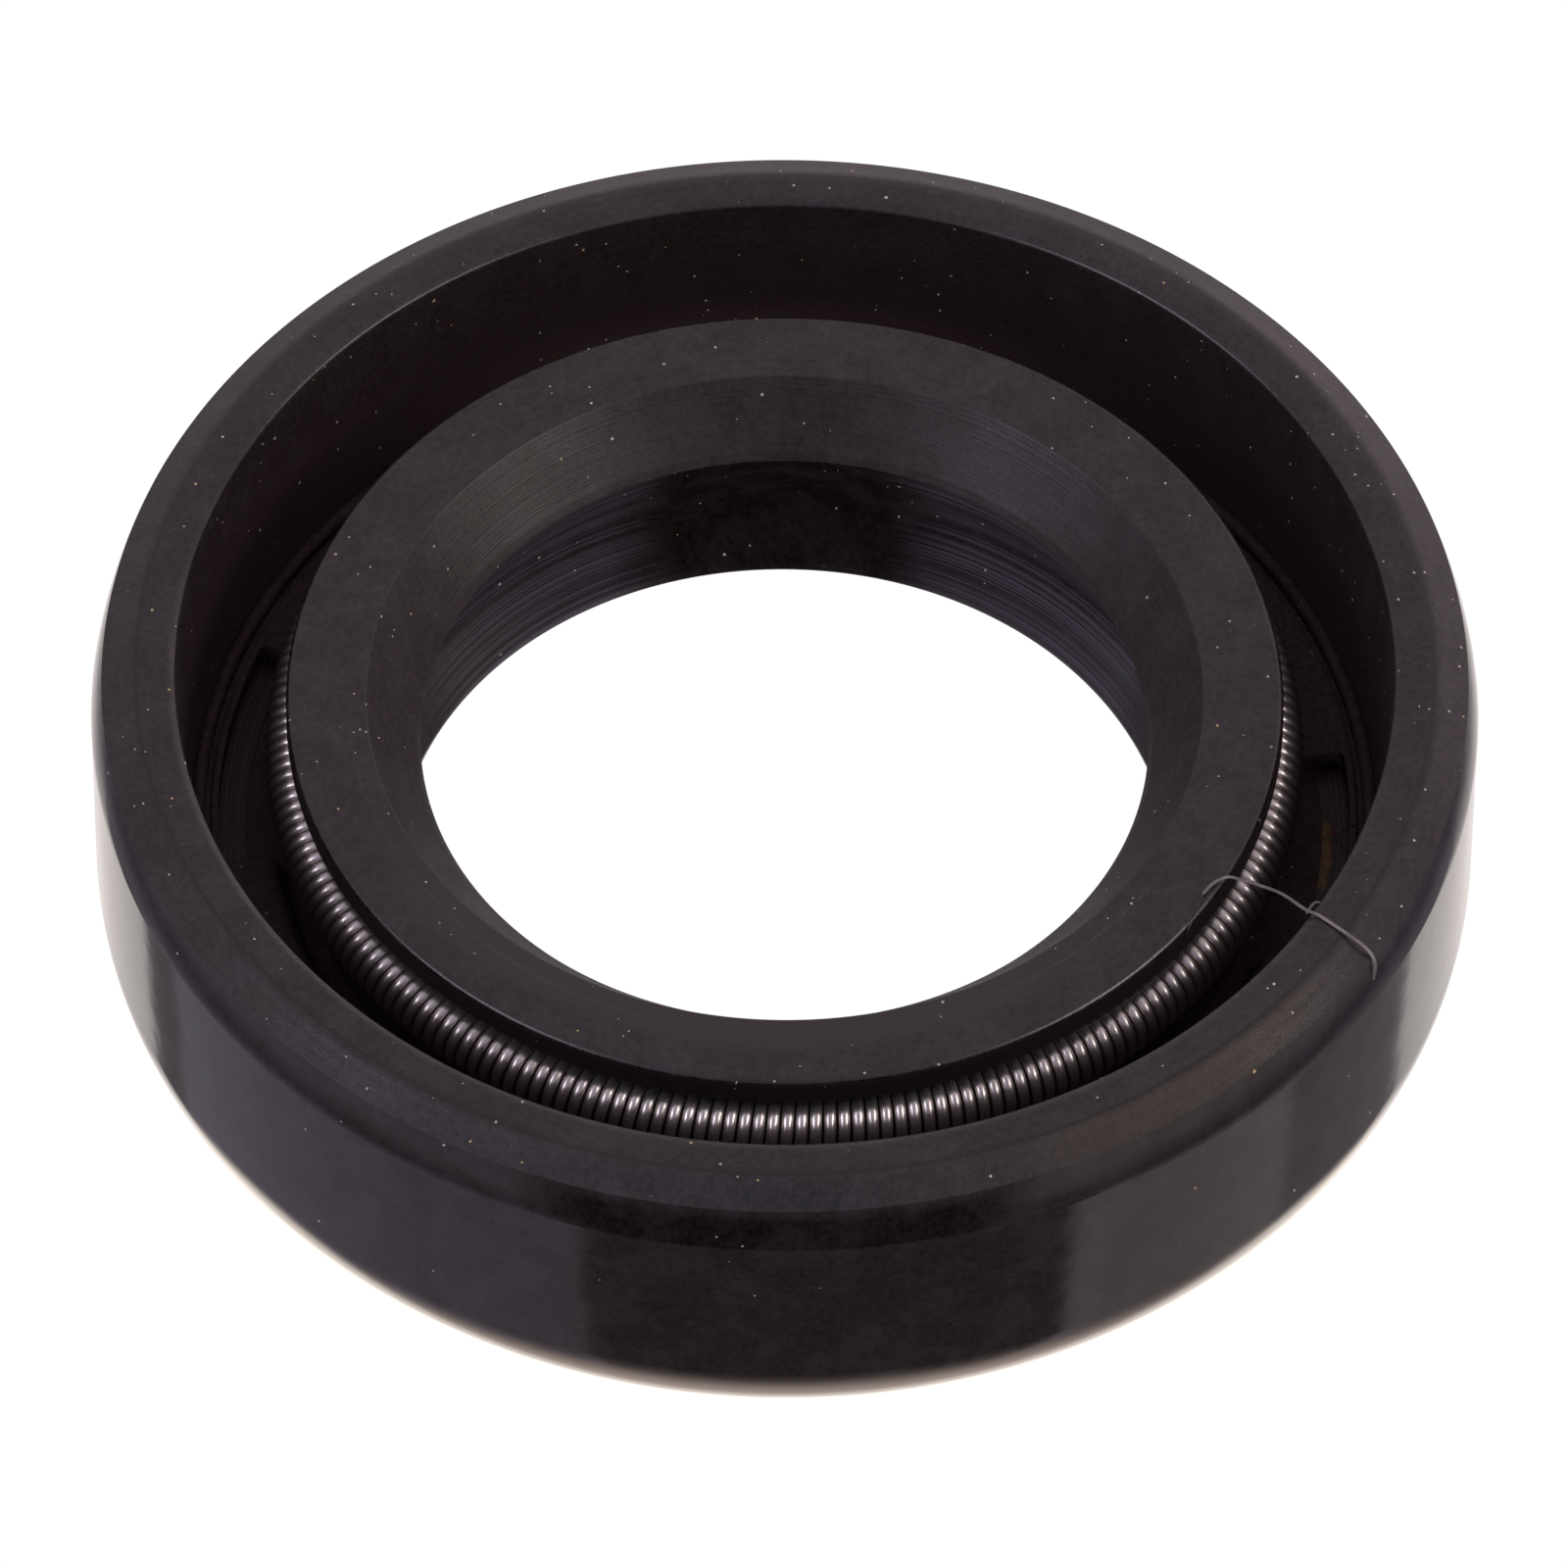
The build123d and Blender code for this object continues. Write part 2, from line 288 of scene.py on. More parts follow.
# loose fibres caught on the seal: points that each one passes, its width and thickness, its tone,
# and the share of the light that it stops
fibres = {
    "lintFibre": {
        "route": [
            (8.37, -5.21, 6.09), (8.59, -4.95, 6.13), (8.88, -4.84, 6.2), (9.17, -5.04, 6.35),
            (9.48, -5.28, 6.5), (9.93, -5.72, 6.77), (10.39, -6.32, 7.02), (10.66, -6.49, 7.04),
            (11.16, -6.91, 7.04), (11.51, -7.14, 6.93), (11.69, -7.24, 6.76), (11.77, -7.33, 6.55),
            (11.74, -7.47, 6.22)],
        "width": 0.08, "thick": 0.025, "tone": (0.21, 0.185, 0.19), "share": 0.55},
    "lintStrand": {
        "route": [
            (8.39, -5.17, 6.08), (8.25, -5.64, 6.08), (8.11, -6.0, 6.04), (7.97, -6.15, 5.6),
            (7.81, -6.3, 5.35), (7.54, -6.6, 5.24), (6.87, -7.25, 5.22), (6.08, -7.9, 5.22),
            (5.46, -8.15, 5.24), (4.52, -8.53, 5.26), (3.54, -8.96, 5.26), (2.77, -9.23, 5.22)],
        "width": 0.028, "thick": 0.022, "tone": (0.045, 0.034, 0.03), "share": 0.6},
    "lintFlake": {
        "route": [(10.4, -6.44, 7.02), (10.51, -6.25, 7.05), (10.6, -6.16, 7.05), (10.7, -6.14, 7.03)],
        "width": 0.06, "thick": 0.02, "tone": (0.2, 0.17, 0.15), "share": 0.4},
    "redFibre": {
        "route": [
            (10.89, -0.32, 1.96), (11.13, -0.27, 2.02), (11.32, -0.31, 2.1), (11.52, -0.38, 2.35),
            (11.73, -0.47, 2.62)],
        "width": 0.05, "thick": 0.03, "tone": (0.11, 0.022, 0.014), "share": 0.8},
}


def fibreMesh(route, width, thick, perSpan=7, roundPoints=8, endRun=0.8, endSize=0.001):
    # Oval thread along a smooth line: between two points of the route the line is the cubic
    # (2 P1 + (P2 - P0) t + (2 P0 - 5 P1 + 4 P2 - P3) t^2 + (3 P1 - P0 - 3 P2 + P3) t^3) / 2,
    # and its half width shrinks almost to nothing over the ends as sqrt(1 - (1 - s / reach)^2),
    # s being the distance to the nearer end and the reach endRun widths.
    p = np.asarray(route, float)
    p = np.vstack([2 * p[:1] - p[1:2], p, 2 * p[-1:] - p[-2:-1]])
    t = np.linspace(0, 1, perSpan, endpoint=False)[None, :, None]
    p0, p1, p2, p3 = (q[:, None] for q in (p[:-3], p[1:-2], p[2:-1], p[3:]))
    line = (2 * p1 + (p2 - p0) * t + (2 * p0 - 5 * p1 + 4 * p2 - p3) * t ** 2
            + (3 * p1 - p0 - 3 * p2 + p3) * t ** 3) / 2
    line = np.vstack([line.reshape(-1, 3), p[-2:-1]])
    along = np.gradient(line, axis=0)
    along /= np.linalg.norm(along, axis=1, keepdims=True)
    side = np.cross(along, (0, 0, 1.0))
    side /= np.linalg.norm(side, axis=1, keepdims=True)
    up = np.cross(side, along)
    passed = np.r_[0, np.cumsum(np.linalg.norm(np.diff(line, axis=0), axis=1))]
    toEnd = np.minimum(passed, passed[-1] - passed) / (endRun * width)
    taper = np.sqrt(1 - (1 - np.clip(toEnd, 0, 1)) ** 2) + endSize
    a = np.linspace(0, 2 * np.pi, roundPoints, endpoint=False)[None, :, None]
    skin = width / 2 * np.cos(a) * side[:, None] + thick / 2 * np.sin(a) * up[:, None]
    return (line[:, None] + taper[:, None, None] * skin) * mm


fibrePieces = {
    name: gridPiece(name, fibreMesh(f["route"], f["width"], f["thick"]), closeRows=False)
    for name, f in fibres.items()}
print("fibres:", ", ".join(fibrePieces))


def newMaterial(name):
    material = bpy.data.materials.new(name)
    material.use_nodes = True
    material.node_tree.nodes.clear()
    return material, material.node_tree


def node(tree, kind, inputs=None, **settings):
    made = tree.nodes.new(kind)
    for key, value in settings.items():
        setattr(made, key, value)
    for key, value in (inputs or {}).items():
        if isinstance(value, bpy.types.NodeSocket):
            tree.links.new(value, made.inputs[key])
        else:
            made.inputs[key].default_value = value
    return made


def calc(tree, operation, a, b=0.0, c=0.0):
    return node(tree, "ShaderNodeMath", {0: a, 1: b, 2: c}, operation=operation).outputs[0]


def ramp(tree, value, low, high, toLow=0.0, toHigh=1.0):
    # smooth step from toLow at low to toHigh at high
    made = node(tree, "ShaderNodeMapRange", {
        "Value": value, "From Min": low, "From Max": high, "To Min": toLow, "To Max": toHigh,
    }, interpolation_type="SMOOTHSTEP")
    return made.outputs["Result"]


def between(tree, value, low, high, soft):
    # 1 from low to high, falling to 0 over the width soft on both sides
    rise = ramp(tree, value, low - soft / 2, low + soft / 2)
    fall = ramp(tree, value, high - soft / 2, high + soft / 2, 1.0, 0.0)
    return calc(tree, "MULTIPLY", rise, fall)


def blend(tree, factor, a, b):
    # tone a where the factor is 0, tone b where it is 1
    made = node(tree, "ShaderNodeMix", {0: factor}, data_type="RGBA")
    for key, value in ((6, a), (7, b)):
        if isinstance(value, bpy.types.NodeSocket):
            tree.links.new(value, made.inputs[key])
        else:
            made.inputs[key].default_value = (*value, 1)
    return made.outputs[2]


def scaled(values, factor):
    return tuple(factor * v for v in values)


def mottled(tree, mask, tone, least, most):
    # the tone times least where the mask is low, times most where it is high
    return blend(tree, ramp(tree, mask, 0.35, 0.65), scaled(tone, least), scaled(tone, most))


def surfaced(tree, inputs, relief=None, strength=1.0):
    # Principled shader as the material's surface, over a relief of a hundredth of a millimetre
    if relief is not None:
        bump = node(tree, "ShaderNodeBump", {"Strength": strength, "Distance": 0.01 * mm, "Height": relief})
        inputs = {**inputs, "Normal": bump.outputs[0]}
    shader = node(tree, "ShaderNodeBsdfPrincipled", inputs)
    node(tree, "ShaderNodeOutputMaterial", {"Surface": shader.outputs[0]})
    return shader


def newGroup(name, inputs, outputs):
    group = bpy.data.node_groups.new(name, "ShaderNodeTree")
    for key, value in inputs.items():
        socket = group.interface.new_socket(key, in_out="INPUT", socket_type="NodeSocketFloat")
        socket.default_value = value
    for key in outputs:
        group.interface.new_socket(key, in_out="OUTPUT", socket_type="NodeSocketFloat")
    return group, node(group, "NodeGroupInput").outputs, node(group, "NodeGroupOutput").inputs


def useGroup(tree, group, **values):
    return node(tree, "ShaderNodeGroup", values, node_tree=group).outputs


# where a point lies on the seal: distance from the axis, height and angle, in millimetres and degrees
placeGroup, _, placeOut = newGroup("sealPlace", {}, ["Radius", "Height", "Angle"])
xyz = node(placeGroup, "ShaderNodeSeparateXYZ", {
    0: node(placeGroup, "ShaderNodeTexCoord").outputs["Object"]}).outputs
level = node(placeGroup, "ShaderNodeCombineXYZ", {0: xyz[0], 1: xyz[1]}).outputs[0]
level = node(placeGroup, "ShaderNodeVectorMath", {0: level}, operation="LENGTH").outputs["Value"]
placeGroup.links.new(calc(placeGroup, "MULTIPLY", level, 1000.0), placeOut["Radius"])
placeGroup.links.new(calc(placeGroup, "MULTIPLY", xyz[2], 1000.0), placeOut["Height"])
placeGroup.links.new(
    calc(placeGroup, "DEGREES", calc(placeGroup, "ARCTAN2", xyz[1], xyz[0])), placeOut["Angle"])

# dust: round specks of scattered sizes, each with a number of its own
dustGroup, dustIn, dustOut = newGroup(
    "dustSpecks", {"Cells": 1500, "Share": 0.3, "Size": 0.12}, ["Mask", "Number"])
place = node(dustGroup, "ShaderNodeTexCoord").outputs["Object"]
cells = node(dustGroup, "ShaderNodeTexVoronoi", {"Vector": place, "Scale": dustIn["Cells"]}, feature="F1")
pick = node(dustGroup, "ShaderNodeSeparateColor", {0: cells.outputs["Color"]}).outputs
size = calc(dustGroup, "MULTIPLY", dustIn["Size"], calc(dustGroup, "MULTIPLY_ADD", pick[1], 0.7, 0.3))
hit = calc(dustGroup, "LESS_THAN", cells.outputs["Distance"], size)
chosen = calc(dustGroup, "LESS_THAN", pick[0], dustIn["Share"])
dustGroup.links.new(calc(dustGroup, "MULTIPLY", hit, chosen), dustOut["Mask"])
dustGroup.links.new(pick[2], dustOut["Number"])

# fine grain of a moulded or drawn surface, and slow clouds
grainGroup, grainIn, grainOut = newGroup("fineGrain", {"Scale": 20000, "Coarse": 3000}, ["Height", "Cloud"])
place = node(grainGroup, "ShaderNodeTexCoord").outputs["Object"]
fine = node(grainGroup, "ShaderNodeTexNoise", {"Vector": place, "Scale": grainIn["Scale"], "Detail": 2.0})
cloud = node(grainGroup, "ShaderNodeTexNoise", {"Vector": place, "Scale": grainIn["Coarse"], "Detail": 3.0})
grainGroup.links.new(fine.outputs[0], grainOut["Height"])
grainGroup.links.new(cloud.outputs[0], grainOut["Cloud"])

# turned lines: rings round the axis, uneven along their way, that step with radius and height
ringGroup, ringIn, ringOut = newGroup("turnedRings", {"Pitch": 0.08, "Drift": 0.4}, ["Height"])
seat = node(ringGroup, "ShaderNodeGroup", node_tree=placeGroup).outputs
step = calc(ringGroup, "MULTIPLY_ADD", seat["Height"], 1.3, seat["Radius"])
step = calc(ringGroup, "DIVIDE", step, ringIn["Pitch"])
x, y, _ = node(ringGroup, "ShaderNodeSeparateXYZ", {
    0: node(ringGroup, "ShaderNodeTexCoord").outputs["Object"]}).outputs
drift = calc(ringGroup, "MULTIPLY", ringIn["Drift"], 100.0)
spot = node(ringGroup, "ShaderNodeCombineXYZ", {
    0: calc(ringGroup, "MULTIPLY", x, drift), 1: calc(ringGroup, "MULTIPLY", y, drift), 2: step}).outputs[0]
line = node(ringGroup, "ShaderNodeTexNoise", {"Vector": spot, "Scale": 1.0, "Detail": 2.0})
ringGroup.links.new(line.outputs[0], ringOut["Height"])

# six finishes of the same rubber: smooth and shiny from the mould, fine matt, filmed over inside the pocket,
# cut on a lathe, the bore's turned faces, and the dull face between the sealing edge and the heel
rubberLook = {
    "tone": (0.0083, 0.0048, 0.0052), "dustTone": (0.5, 0.45, 0.42), "yellowDust": (0.4, 0.29, 0.15),
    # paintedSheen is the tone of a painted reflection on the bore's turning lines
    "patch": (0.0042, 0.0044, 0.0054), "paintedSheen": (0.066, 0.058, 0.076),
    "shine": 0.5, "twist": 0.0, "dust": 1.0, "heelHide": 0.0,
    "crowdNoise": (0.42, 0.7), "dustShare": (0.08, 0.42), "yellowFrom": 0.82, "dustGloss": 0.7,
    "dustRelief": 1.2, "mottleNoise": (0.34, 0.66), "patchNoise": (0.42, 0.62),
    "glossNoise": (0.3, 0.7), "glossSpread": (0.93, 1.07),
}
finishLook = {
    "pressed": {
        "gloss": 0.1, "grain": 0.05, "rings": 0.0, "pitch": 0.1, "wave": 0.6, "mottle": 0.5, "dust": 0.4},
    "moulded": {
        "gloss": 0.27, "grain": 0.3, "rings": 0.5, "pitch": 0.07, "wave": 0.25, "mottle": 0.95, "dust": 1.8},
    "sheltered": {
        "gloss": 0.5, "grain": 0.1, "rings": 0.0, "pitch": 0.1, "wave": 0.0, "mottle": 0.3, "dust": 1.2,
        "tone": (0.046, 0.0285, 0.0265), "shine": 0.06},
    "trimmed": {
        "gloss": 0.43, "grain": 0.35, "rings": 0.8, "pitch": 0.045, "wave": 0.0, "mottle": 0.6, "dust": 1.6,
        "tone": (0.0115, 0.006, 0.0056), "shine": 0.45, "twist": 0.35},
    "bored": {
        "gloss": 0.17, "grain": 0.2, "rings": 0.1, "pitch": 0.045, "wave": 0.0, "mottle": 0.5,
        "tone": (0.009, 0.005, 0.0048), "shine": 0.2, "heelHide": 1.0},
    "undercut": {
        "gloss": 0.5, "grain": 0.2, "rings": 0.1, "pitch": 0.045, "wave": 0.0, "mottle": 0.4,
        "tone": (0.0086, 0.0056, 0.0055), "shine": 0.0, "heelHide": 0.3},
}
# Marks on single finishes. A mark's mask is the product of its share, its bands (low, high, soft)
# and its steps (low, high, value at low, value at high). It blends in a tone or adds to the roughness.
pocketWall = (11.9, 12.29, 0.02)
marks = {
    "moulded": [
        # the shoulder is smoother
        {"steps": {"Radius": (13.1, 13.5), "Height": (6.0, 6.5)}, "rougher": -0.06},
        # the pocket's wall is duller and browner, and painted lighter the deeper it goes: painted light where
        # little light reaches the bottom of the pocket
        {"bands": {"Radius": pocketWall}, "rougher": 0.13},
        {"bands": {"Radius": pocketWall}, "steps": {"Height": (2.3, 6.9, 1.0, 0.25)},
         "tone": (0.03, 0.0175, 0.0175)},
        # painted light: lighter still towards the bottom of the wall
        {"bands": {"Radius": pocketWall}, "steps": {"Height": (2.6, 4.4, 1.0, 0.0)},
         "tone": (0.07, 0.042, 0.041)},
        # the head is a little greyer along its inner edge at the front
        {"bands": {"Radius": (8.3, 9.2, 0.5), "Angle": (-150.0, -50.0, 30.0)},
         "tone": (0.0175, 0.0125, 0.013)},
        # a thin brown smear on the shoulder
        {"bands": {"Radius": (12.9, 13.72, 0.25), "Angle": (-66.0, -34.0, 12.0)},
         "steps": {"Cloud": (0.25, 0.7, 0.3, 0.8), "Height": (6.0, 6.3)}, "tone": (0.022, 0.0135, 0.009)},
        # painted shade: a dark line along the bend where the shoulder meets the lead-in
        {"share": 0.8, "bands": {"Radius": (13.04, 13.12, 0.05)}, "tone": (0.002, 0.001, 0.001)},
    ],
    "sheltered": [
        # painted shade: darker on the outer side of the head, above the spring
        {"steps": {"Height": (4.9, 5.2), "Radius": (10.3, 10.5, 1.0, 0.0)}, "tone": (0.017, 0.012, 0.012)},
    ],
}
# painted reflection: a bluish sheen on fine turning lines in the bore, clearest on two sides of it, fainter on
# the heel
paintedBoreSheen = {
    "pitch": 0.055, "drift": 0.5, "contrast": (0.35, 0.75, 0.1, 1.0),
    "leftSide": (112.0, 150.0, 14.0), "rightSide": (28.0, 70.0, 14.0), "heel": (1.8, 2.9, 0.4)}


def marked(tree, places, tone, rough, finishMarks):
    for mark in finishMarks:
        mask = mark.get("share", 1.0)
        for key, band in mark.get("bands", {}).items():
            mask = calc(tree, "MULTIPLY", mask, between(tree, places[key], *band))
        for key, step in mark.get("steps", {}).items():
            mask = calc(tree, "MULTIPLY", mask, ramp(tree, places[key], *step))
        if "tone" in mark:
            tone = blend(tree, mask, tone, mark["tone"])
        if "rougher" in mark:
            rough = calc(tree, "MULTIPLY_ADD", mask, mark["rougher"], rough)
    return tone, rough


def rubberMaterial(kind):
    look = {**rubberLook, **finishLook[kind]}
    material, tree = newMaterial("blackNitrile" + kind.capitalize())
    seat = useGroup(tree, placeGroup)
    grain = useGroup(tree, grainGroup, Scale=24000, Coarse=7000)
    cloud = useGroup(tree, grainGroup, Scale=900, Coarse=320)
    patch = useGroup(tree, grainGroup, Scale=2600, Coarse=1100)
    rings = useGroup(tree, ringGroup, Pitch=look["pitch"], Drift=0.4)["Height"]

    # dust of two sizes, in crowds, some of it yellow
    crowd = ramp(tree, cloud["Cloud"], *look["crowdNoise"], *scaled(look["dustShare"], look["dust"]))
    tiny = useGroup(tree, dustGroup, Cells=3900, Share=crowd, Size=0.13)
    small = useGroup(tree, dustGroup, Cells=1500, Share=calc(tree, "MULTIPLY", crowd, 0.8), Size=0.07)
    dust = calc(tree, "MULTIPLY", calc(tree, "MAXIMUM", tiny["Mask"], small["Mask"]),
                calc(tree, "MULTIPLY_ADD", small["Number"], 0.5, 0.5))
    yellow = calc(tree, "GREATER_THAN", small["Number"], look["yellowFrom"])
    dustTone = blend(tree, yellow, look["dustTone"], look["yellowDust"])

    # fine mottling, and larger patches of a thin grey film
    mottle = calc(tree, "MULTIPLY_ADD", grain["Cloud"], 0.6, calc(tree, "MULTIPLY", grain["Height"], 0.4))
    tone = blend(tree, ramp(tree, mottle, *look["mottleNoise"]),
                 scaled(look["tone"], 1 - look["mottle"]), scaled(look["tone"], 1 + look["mottle"]))
    filmAndPaintedShade = blend(tree, ramp(tree, patch["Cloud"], *look["patchNoise"]), (0.0, 0.0, 0.0), look["patch"])
    tone = node(tree, "ShaderNodeVectorMath", {0: tone, 1: filmAndPaintedShade}, operation="ADD").outputs[0]
    rough = ramp(tree, cloud["Height"], *look["glossNoise"], *scaled(look["glossSpread"], look["gloss"]))

    places = {
        "Radius": seat["Radius"], "Height": seat["Height"], "Angle": seat["Angle"], "Cloud": grain["Cloud"]}
    tone, rough = marked(tree, places, tone, rough, marks.get(kind, []))
    # painted reflection: the sheen tone laid on the turning lines on two sides of the bore
    if look["heelHide"]:
        lines = useGroup(tree, ringGroup, Pitch=paintedBoreSheen["pitch"], Drift=paintedBoreSheen["drift"])["Height"]
        sides = calc(tree, "ADD", between(tree, seat["Angle"], *paintedBoreSheen["rightSide"]),
                     between(tree, seat["Angle"], *paintedBoreSheen["leftSide"]))
        onHeel = between(tree, seat["Height"], *paintedBoreSheen["heel"])
        clear = calc(tree, "MULTIPLY_ADD", onHeel, -look["heelHide"], 1.0)
        paintedSheenMask = calc(tree, "MULTIPLY", calc(tree, "MULTIPLY", sides, clear),
                    ramp(tree, lines, *paintedBoreSheen["contrast"]))
        tone = blend(tree, paintedSheenMask, tone, look["paintedSheen"])
    tone = blend(tree, dust, tone, dustTone)
    rough = calc(tree, "MAXIMUM", rough, calc(tree, "MULTIPLY", dust, look["dustGloss"]))

    relief = calc(tree, "MULTIPLY", grain["Height"], look["grain"])
    for height, share in (
            (rings, look["rings"]), (cloud["Height"], look["wave"]), (dust, look["dustRelief"])):
        relief = calc(tree, "MULTIPLY_ADD", height, share, relief)
    shader = surfaced(tree, {
        "Base Color": tone, "Roughness": rough, "IOR": 1.5, "Specular IOR Level": look["shine"],
        "Anisotropic": look["twist"], "Anisotropic Rotation": 0.25}, relief)
    if look["twist"]:
        turn = node(tree, "ShaderNodeTangent", direction_type="RADIAL", axis="Z").outputs[0]
        tree.links.new(turn, shader.inputs["Tangent"])
    return material


springLook = {
    "tone": (0.5, 0.455, 0.44), "worn": (1.0, 0.8), "gloss": 0.27, "metal": 0.9,
    # filmAndPaintedShade and its heights give the painted shade on the coil's lower outer side
    "filmAndPaintedShade": (0.26, 0.195, 0.185), "paintedShadeFrom": 5.05, "paintedShadeTo": 5.9, "relief": 0.1}


def springMaterial(look):
    material, tree = newMaterial("springWireWithPaintedShade")
    grain = useGroup(tree, grainGroup, Scale=30000, Coarse=1500)
    tone = mottled(tree, grain["Cloud"], look["tone"], *look["worn"])
    # painted shade: the lower outer side of the coil is darker and browner
    seat = useGroup(tree, placeGroup)
    low = calc(tree, "SUBTRACT", seat["Radius"], seat["Height"])
    tone = blend(tree, ramp(tree, low, look["paintedShadeFrom"], look["paintedShadeTo"]), tone, look["filmAndPaintedShade"])
    surfaced(tree, {"Base Color": tone, "Metallic": look["metal"], "Roughness": look["gloss"]},
             grain["Height"], look["relief"])
    return material


steelLook = {
    "tone": (0.031, 0.0165, 0.0125), "worn": (0.55, 1.35), "gloss": 0.4, "shine": 0.2,
    "glue": (0.15, 0.078, 0.017), "glueEdge": (11.12, 11.18), "glueAngle": (-8.5, 0.5, 1.0),
    "ragged": 0.22, "glueThin": 0.55, "ringRelief": 2.0, "glueRelief": 1.5, "relief": 0.3}


def steelMaterial(look):
    material, tree = newMaterial("bondedSteel")
    grain = useGroup(tree, grainGroup, Scale=15000, Coarse=2500)
    seat = useGroup(tree, placeGroup)
    rings = useGroup(tree, ringGroup, Pitch=0.05, Drift=0.3)["Height"]
    tone = mottled(tree, rings, look["tone"], *look["worn"])
    # dried bonding agent along a stretch of the flange's edge
    uneven = calc(tree, "SUBTRACT", grain["Cloud"], 0.5)
    ragged = calc(tree, "MULTIPLY_ADD", uneven, look["ragged"], seat["Radius"])
    glue = calc(tree, "MULTIPLY", ramp(tree, ragged, *look["glueEdge"], 1.0, 0.0),
                between(tree, seat["Angle"], *look["glueAngle"]))
    thick = ramp(tree, grain["Height"], 0.3, 0.7)
    glueTone = blend(tree, thick, scaled(look["glue"], look["glueThin"]), look["glue"])
    tone = blend(tree, glue, tone, glueTone)
    relief = calc(tree, "MULTIPLY_ADD", rings, look["ringRelief"], grain["Height"])
    relief = calc(tree, "MULTIPLY_ADD", glue, look["glueRelief"], relief)
    surfaced(tree, {"Base Color": tone, "Roughness": look["gloss"], "Specular IOR Level": look["shine"]},
             relief, look["relief"])
    return material


def fibreMaterial(name, look):
    material, tree = newMaterial(name + "Hair")
    grain = useGroup(tree, grainGroup, Scale=9000, Coarse=2500)
    tone = mottled(tree, grain["Cloud"], look["tone"], 0.75, 1.3)
    share = ramp(tree, grain["Height"], 0.3, 0.7, look["share"] * 0.85, look["share"])
    surfaced(tree, {"Base Color": tone, "Roughness": 0.45, "Alpha": share})
    return material


for kind in finishNumber:
    rubberPiece.data.materials.append(rubberMaterial(kind))
springPiece.data.materials.append(springMaterial(springLook))
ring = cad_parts["stiffening_ring"]
ring.data.materials.clear()
ring.data.materials.append(steelMaterial(steelLook))
for name, piece in fibrePieces.items():
    piece.data.materials.append(fibreMaterial(name, fibres[name]))

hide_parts("rubber_body")
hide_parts("garter_spring")
for piece in (rubberPiece, springPiece, *fibrePieces.values()):
    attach(piece, "root")
print("materials placed")

# Lies a hair under the back face. Its underside is clear, so a view from below shows the seal.
floor = {"half": 1500.0, "height": -0.02, "glow": 1.02}
half, low = floor["half"] * mm, floor["height"] * mm
floorMesh = bpy.data.meshes.new("paleFloor")
floorMesh.from_pydata(
    [(-half, -half, low), (half, -half, low), (half, half, low), (-half, half, low)], [], [(0, 1, 2, 3)])
paleFloor = bpy.data.objects.new("paleFloor", floorMesh)
bpy.context.scene.collection.objects.link(paleFloor)
floorMaterial, tree = newMaterial("paleSweep")
glow = node(tree, "ShaderNodeEmission", {"Color": (1, 1, 1, 1), "Strength": floor["glow"]})
under = node(tree, "ShaderNodeNewGeometry").outputs["Backfacing"]
clear = node(tree, "ShaderNodeBsdfTransparent")
sheet = node(tree, "ShaderNodeMixShader", {0: under, 1: glow.outputs[0], 2: clear.outputs[0]})
node(tree, "ShaderNodeOutputMaterial", {"Surface": sheet.outputs[0]})
floorMesh.materials.append(floorMaterial)
paleFloor.visible_glossy = False

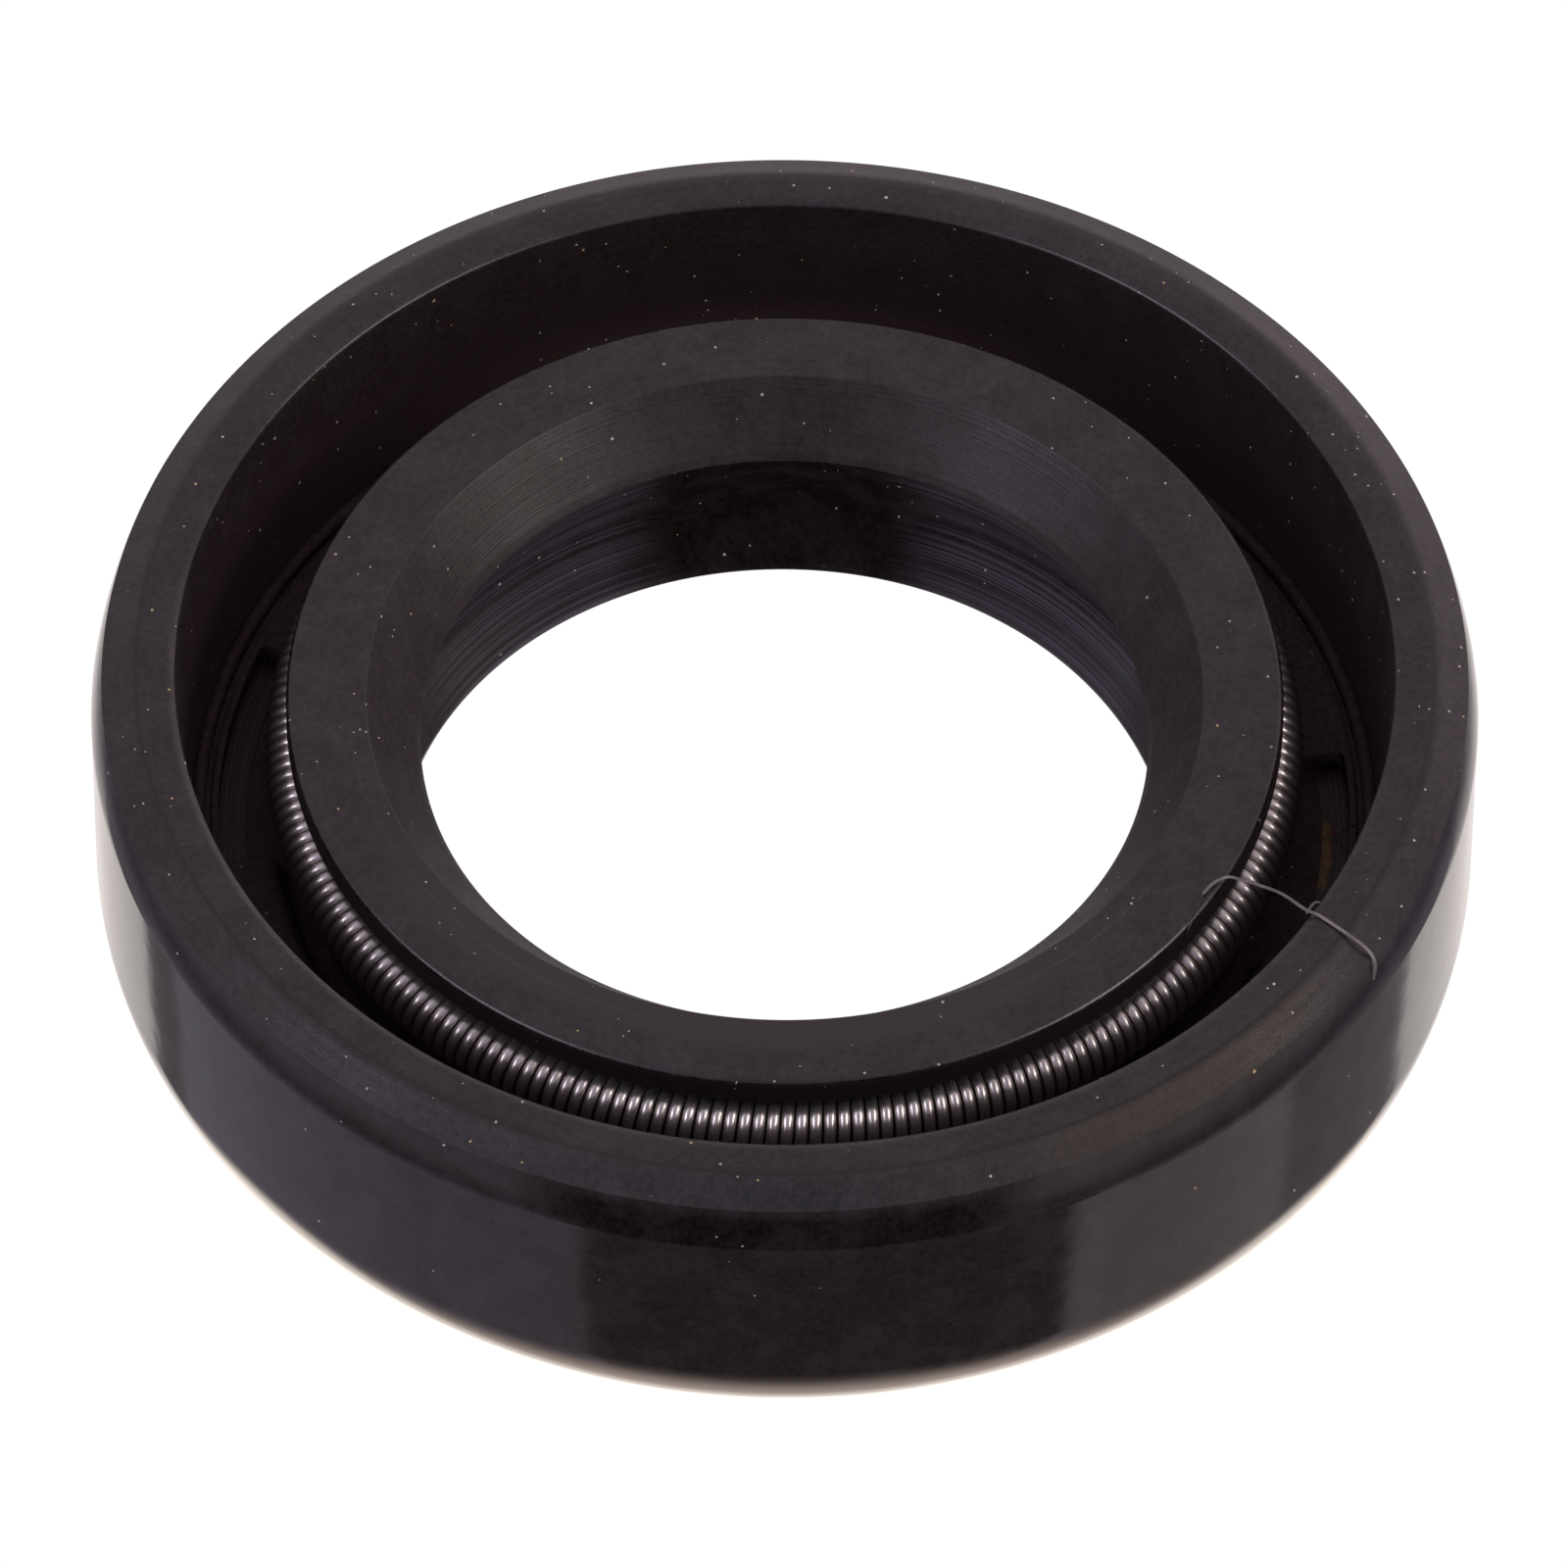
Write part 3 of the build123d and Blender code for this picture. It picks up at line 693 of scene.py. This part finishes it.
# White cloths and dark boards round the seal, each from one azimuth and elevation to another,
# with soft edges. Azimuth 0 lies behind the seal, +90 to its right. A later one covers an earlier one.
tentTone = (0.64, 0.56, 0.62)
tentCards = {
    "leftSide": {
        "azimuth": (-146, -75), "elevation": (-26, 32), "soft": (16, 12),
        "tone": (0.52, 0.48, 0.58)},
    "rightSide": {
        "azimuth": (75, 146), "elevation": (-26, 32), "soft": (16, 12),
        "tone": (0.64, 0.55, 0.53)},
    "leftTop": {
        "azimuth": (-130, -70), "elevation": (52, 76), "soft": (24, 12),
        "tone": (0.76, 0.7, 0.84)},
    "rightTop": {
        "azimuth": (70, 130), "elevation": (52, 76), "soft": (24, 12),
        "tone": (0.84, 0.69, 0.65)},
    "nearTop": {
        "azimuth": (140, 220), "elevation": (36, 84), "soft": (40, 16),
        "tone": (0.48, 0.48, 0.6)},
    "rightWindow": {
        "azimuth": (17, 62), "elevation": (-4, 37), "soft": (10, 14),
        "tone": (1.05, 0.88, 0.92)},
    "nearDusk": {
        "azimuth": (150, 210), "elevation": (-18, 36), "soft": (34, 14),
        "tone": (0.27, 0.26, 0.3)},
    "leftLow": {
        "azimuth": (-146, -56.5), "elevation": (-100, -40), "soft": (6, 7),
        "tone": (0.39, 0.36, 0.43)},
    "rightLow": {
        "azimuth": (84.5, 123), "elevation": (-100, -41), "soft": (2, 7),
        "tone": (0.53, 0.46, 0.46)},
    "rightFold": {
        "azimuth": (50.4, 84.5), "elevation": (-100, -41), "soft": (2, 7),
        "tone": (0.27, 0.25, 0.27)},
    "leftFold": {
        "azimuth": (-57, -44.8), "elevation": (-100, -41), "soft": (1.5, 7),
        "tone": (0.2, 0.185, 0.2)},
    "leftPleat": {
        "azimuth": (-118, -114), "elevation": (-100, -41), "soft": (2, 7),
        "tone": (0.35, 0.31, 0.4)},
    "nearLow": {
        "azimuth": (129.5, 214), "elevation": (-100, -40), "soft": (3, 7),
        "tone": (0.1, 0.1, 0.11)},
    "farLow": {
        "azimuth": (-45.6, 50.4), "elevation": (-100, -30), "soft": (2, 10),
        "tone": (1.08, 1.0, 0.97)},
    "belt": {
        "azimuth": (-200, 200), "elevation": (-41, -28), "soft": (1, 14),
        "tone": (0.16, 0.15, 0.19)},
    "nearBelt": {
        "azimuth": (146, 214), "elevation": (-47, -17), "soft": (14, 8),
        "tone": (0.0, 0.01, 0.01)},
    "underneath": {
        "azimuth": (-200, 200), "elevation": (-120, -67), "soft": (1, 26),
        "tone": (1.9, 1.5, 1.32)},
    "farUnder": {
        "azimuth": (-78, 80), "elevation": (-120, -57), "soft": (30, 8),
        "tone": (2.3, 2.05, 1.85)},
}
world = bpy.data.worlds.new("softTent")
bpy.context.scene.world = world
world.use_nodes = True
tree = world.node_tree
tree.nodes.clear()
way = node(tree, "ShaderNodeTexCoord").outputs["Generated"]
x, y, z = node(tree, "ShaderNodeSeparateXYZ", {0: way}).outputs
azimuth = calc(tree, "DEGREES", calc(tree, "ARCTAN2", x, y))
fromNear = calc(tree, "MODULO", calc(tree, "ADD", azimuth, 360.0), 360.0)  # 180 lies in front of the seal
elevation = calc(tree, "DEGREES", calc(tree, "ARCSINE", z))
tone = tentTone
for card in tentCards.values():
    across = fromNear if 200 < card["azimuth"][1] < 360 else azimuth
    wide = between(tree, across, *card["azimuth"], card["soft"][0])
    tall = between(tree, elevation, *card["elevation"], card["soft"][1])
    tone = blend(tree, calc(tree, "MULTIPLY", wide, tall), tone, card["tone"])
seen = node(tree, "ShaderNodeLightPath").outputs["Is Camera Ray"]  # the camera itself sees plain white
tone = blend(tree, seen, tone, (1.0, 1.0, 1.0))
background = node(tree, "ShaderNodeBackground", {"Color": tone, "Strength": 1.0})
node(tree, "ShaderNodeOutputWorld", {"Surface": background.outputs[0]})

softboxes = {
    "leftSoftbox": {
        "azimuth": -113.7, "elevation": 42.5, "distance": 500, "wide": 270, "tall": 165,
        "radiance": (4.2, 4.1, 4.9)},
    "rightSoftbox": {
        "azimuth": 104.7, "elevation": 39.5, "distance": 500, "wide": 270, "tall": 165,
        "radiance": (6.6, 6.2, 6.0)},
}
for name, box in softboxes.items():
    data = bpy.data.lights.new(name, "AREA")
    data.shape = "RECTANGLE"
    data.size, data.size_y = box["wide"] * mm, box["tall"] * mm
    strongest = max(box["radiance"])
    data.color = [v / strongest for v in box["radiance"]]
    data.energy = strongest * math.pi * data.size * data.size_y  # pi times the radiance times the area
    lamp = bpy.data.objects.new(name, data)
    bpy.context.scene.collection.objects.link(lamp)
    a, e = math.radians(box["azimuth"]), math.radians(box["elevation"])
    toLamp = Vector((math.sin(a) * math.cos(e), math.cos(a) * math.cos(e), math.sin(e)))
    lamp.location = toLamp * box["distance"] * mm
    lamp.rotation_euler = toLamp.to_track_quat("Z", "Y").to_euler()

view = {
    "aim": (-0.004, -3.176, 7.0), "distance": 345.7, "elevation": 50.64, "roll": 0.425,
    "lens": 396.5, "sensor": 36.0, "clip": 0.01}
cameraData = bpy.data.cameras.new("studioCamera")
cameraData.lens = view["lens"]
cameraData.sensor_width = view["sensor"]
cameraData.clip_start = view["clip"]
camera = bpy.data.objects.new("studioCamera", cameraData)
bpy.context.scene.collection.objects.link(camera)
rise = math.radians(view["elevation"])
toCamera = Vector((0, -math.cos(rise), math.sin(rise)))
turn = toCamera.to_track_quat("Z", "Y").to_matrix() @ Matrix.Rotation(math.radians(view["roll"]), 3, "Z")
camera.matrix_world = Matrix.Translation(
    (Vector(view["aim"]) + toCamera * view["distance"]) * mm) @ turn.to_4x4()
bpy.context.scene.camera = camera
bpy.context.scene.view_settings.view_transform = "Standard"
print("stage set")
